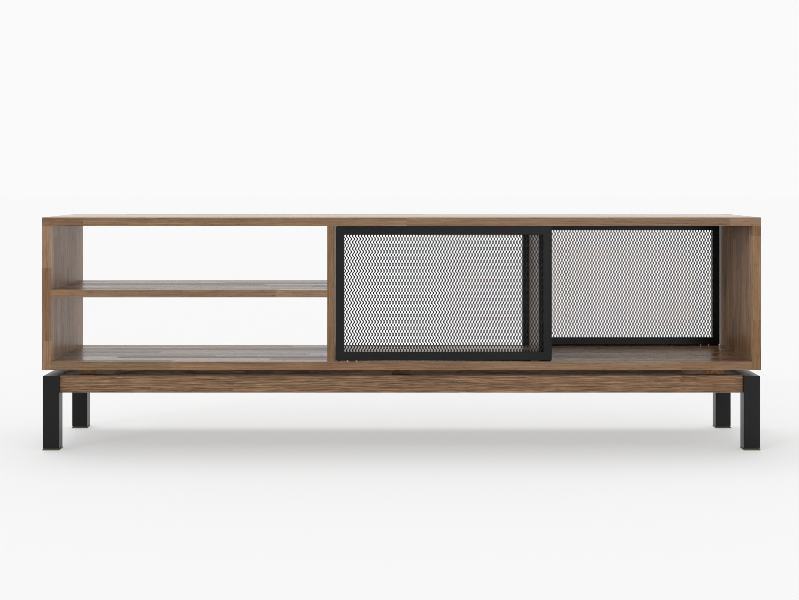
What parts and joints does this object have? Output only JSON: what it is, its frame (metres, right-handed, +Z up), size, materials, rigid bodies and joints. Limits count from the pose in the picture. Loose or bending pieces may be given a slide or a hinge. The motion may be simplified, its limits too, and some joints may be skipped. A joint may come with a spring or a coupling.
{
  "type": "tv stand with sliding mesh doors",
  "caption": "Low walnut media cabinet on a black steel-legged base, open shelved bay at the left, see-through bay with sliding expanded-metal doors at the right.",
  "frame": {"origin": "on the floor under the middle of the cabinet, in the plane of the foot pads' undersides", "axes": "+Z up, +X to the right along the length as seen from the front, +Y from the front to the back"},
  "size_m": [1.8, 0.4, 0.584],
  "materials": {
    "walnut": "oiled lamella panel, satin",
    "walnut_base": "oiled, brushed grain",
    "beech": "raw",
    "leg_metal": "black satin powder coat",
    "door_metal": "black fine-texture powder coat",
    "black_trim": "black satin",
    "channel_aluminium": "black anodised",
    "zinc_steel": "zinc plated",
    "brass": "machined",
    "nylon": "moulded nylon, black",
    "brush_pile": "dense nylon pile",
    "black_plastic": "moulded, matt",
    "black_rubber": "matt",
    "foot_pad": "olive-bronze, matt"
  },
  "bodies": {
    "cabinet": {"top_panel": "walnut", "bottom_panel": "walnut", "left_side_panel": "walnut", "right_side_panel": "walnut", "left_divider": "walnut", "centre_divider": "walnut", "centre_divider_front_trim": "black_trim", "centre_divider_back_trim": "black_trim", "shelf": "walnut", "carcass_dowels": "beech", "shelf_dowels": "beech", "front_top_channel": "channel_aluminium", "back_top_channel": "channel_aluminium", "front_floor_channel": "channel_aluminium", "back_floor_channel": "channel_aluminium", "channel_stops": "black_rubber", "front_left_leg": "leg_metal", "front_right_leg": "leg_metal", "back_left_leg": "leg_metal", "back_right_leg": "leg_metal", "left_side_tube": "leg_metal", "right_side_tube": "leg_metal", "front_rail": "walnut_base", "back_rail": "walnut_base", "left_bearer": "walnut_base", "centre_bearer": "walnut_base", "right_bearer": "walnut_base", "bearer_dowels": "beech", "cabinet_bolts": "zinc_steel", "threaded_inserts": "brass", "corner_brackets": "zinc_steel", "bracket_screws": "zinc_steel", "leg_end_caps": "black_plastic", "front_left_foot": "foot_pad", "front_right_foot": "foot_pad", "back_left_foot": "foot_pad", "back_right_foot": "foot_pad"},
    "front_door": {"front_door_left_stile": "door_metal", "front_door_right_stile": "door_metal", "front_door_top_rail": "door_metal", "front_door_bottom_rail": "door_metal", "front_door_mesh": "door_metal", "front_door_top_guide": "nylon", "front_door_brush_strip": "brush_pile", "front_door_roller_forks": "nylon", "front_door_axles": "zinc_steel"},
    "back_door": {"back_door_left_stile": "door_metal", "back_door_right_stile": "door_metal", "back_door_top_rail": "door_metal", "back_door_bottom_rail": "door_metal", "back_door_mesh": "door_metal", "back_door_top_guide": "nylon", "back_door_brush_strip": "brush_pile", "back_door_roller_forks": "nylon", "back_door_axles": "zinc_steel"},
    "front_door_left_roller": {"front_door_left_roller": "nylon"},
    "front_door_right_roller": {"front_door_right_roller": "nylon"},
    "back_door_left_roller": {"back_door_left_roller": "nylon"},
    "back_door_right_roller": {"back_door_right_roller": "nylon"}
  },
  "joints": [
    {"name": "front_door_slide", "type": "slide", "parent": "cabinet", "child": "front_door", "axis": [1, 0, 0], "range_m": [0, 0.4979]},
    {"name": "back_door_slide", "type": "slide", "parent": "cabinet", "child": "back_door", "axis": [1, 0, 0], "range_m": [-0.496, 0.0019]},
    {"name": "front_door_left_roller_spin", "type": "hinge", "parent": "front_door", "child": "front_door_left_roller", "pos_m": [-0.1241, -0.184, 0.2303], "axis": [0, 1, 0], "continuous": true},
    {"name": "front_door_right_roller_spin", "type": "hinge", "parent": "front_door", "child": "front_door_right_roller", "pos_m": [0.3369, -0.184, 0.2303], "axis": [0, 1, 0], "continuous": true},
    {"name": "back_door_left_roller_spin", "type": "hinge", "parent": "back_door", "child": "back_door_left_roller", "pos_m": [0.3719, 0.184, 0.2303], "axis": [0, 1, 0], "continuous": true},
    {"name": "back_door_right_roller_spin", "type": "hinge", "parent": "back_door", "child": "back_door_right_roller", "pos_m": [0.8329, 0.184, 0.2303], "axis": [0, 1, 0], "continuous": true}
  ],
  "couplings": [
    {"joint": "front_door_left_roller_spin", "follows": "front_door_slide", "rad_per_m": 90.909},
    {"joint": "front_door_right_roller_spin", "follows": "front_door_slide", "rad_per_m": 90.909},
    {"joint": "back_door_left_roller_spin", "follows": "back_door_slide", "rad_per_m": 90.909},
    {"joint": "back_door_right_roller_spin", "follows": "back_door_slide", "rad_per_m": 90.909}
  ]
}
